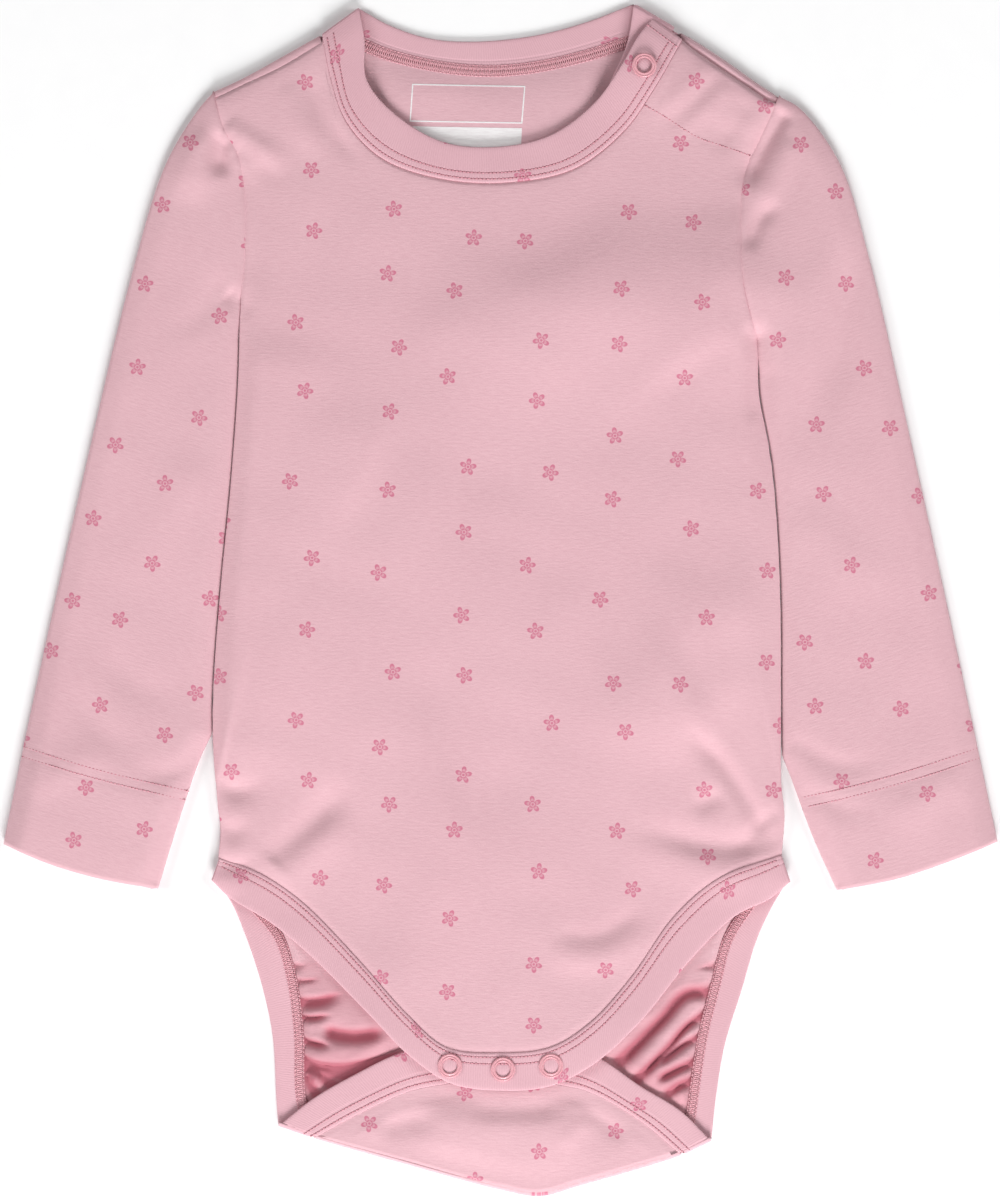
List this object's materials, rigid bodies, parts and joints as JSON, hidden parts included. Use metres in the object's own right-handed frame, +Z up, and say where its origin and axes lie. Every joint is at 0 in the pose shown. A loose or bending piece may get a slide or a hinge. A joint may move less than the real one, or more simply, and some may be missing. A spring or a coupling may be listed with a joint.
{
  "type": "baby bodysuit",
  "caption": "Long-sleeved printed jersey baby bodysuit laid flat, with bound neck and legs, a lapped shoulder and a crotch flap closed by ring press fasteners.",
  "frame": {"origin": "on the surface it lies on, under the middle of its outline", "axes": "+X towards the wearer's left sleeve, +Y up the garment to the neck, +Z up off the surface"},
  "size_m": [0.398, 0.4768, 0.009],
  "materials": {
    "printed_jersey": "pale pink cotton jersey with a small rose flower print, paler reverse",
    "jersey_binding": "the same pale pink printed jersey cut in strips, folded, twin-needle stitched",
    "fastener": "pink enamelled ring press fastener, semi-gloss"
  },
  "bodies": {
    "root": {"front_panel": "printed_jersey", "back_panel": "printed_jersey", "sleeve_right": "printed_jersey", "sleeve_left": "printed_jersey", "neckband_front": "jersey_binding", "neckband_back": "jersey_binding", "leg_band_front": "jersey_binding", "leg_band_back": "jersey_binding", "crotch_snap_1_ring": "fastener", "crotch_snap_1_socket": "fastener", "crotch_snap_1_stud": "fastener", "crotch_snap_1_inner_ring": "fastener", "crotch_snap_2_ring": "fastener", "crotch_snap_2_socket": "fastener", "crotch_snap_2_stud": "fastener", "crotch_snap_2_inner_ring": "fastener", "crotch_snap_3_ring": "fastener", "crotch_snap_3_socket": "fastener", "crotch_snap_3_stud": "fastener", "crotch_snap_3_inner_ring": "fastener", "shoulder_snap_ring": "fastener", "shoulder_snap_socket": "fastener", "shoulder_snap_stud": "fastener", "shoulder_snap_inner_ring": "fastener"}
  },
  "joints": []
}
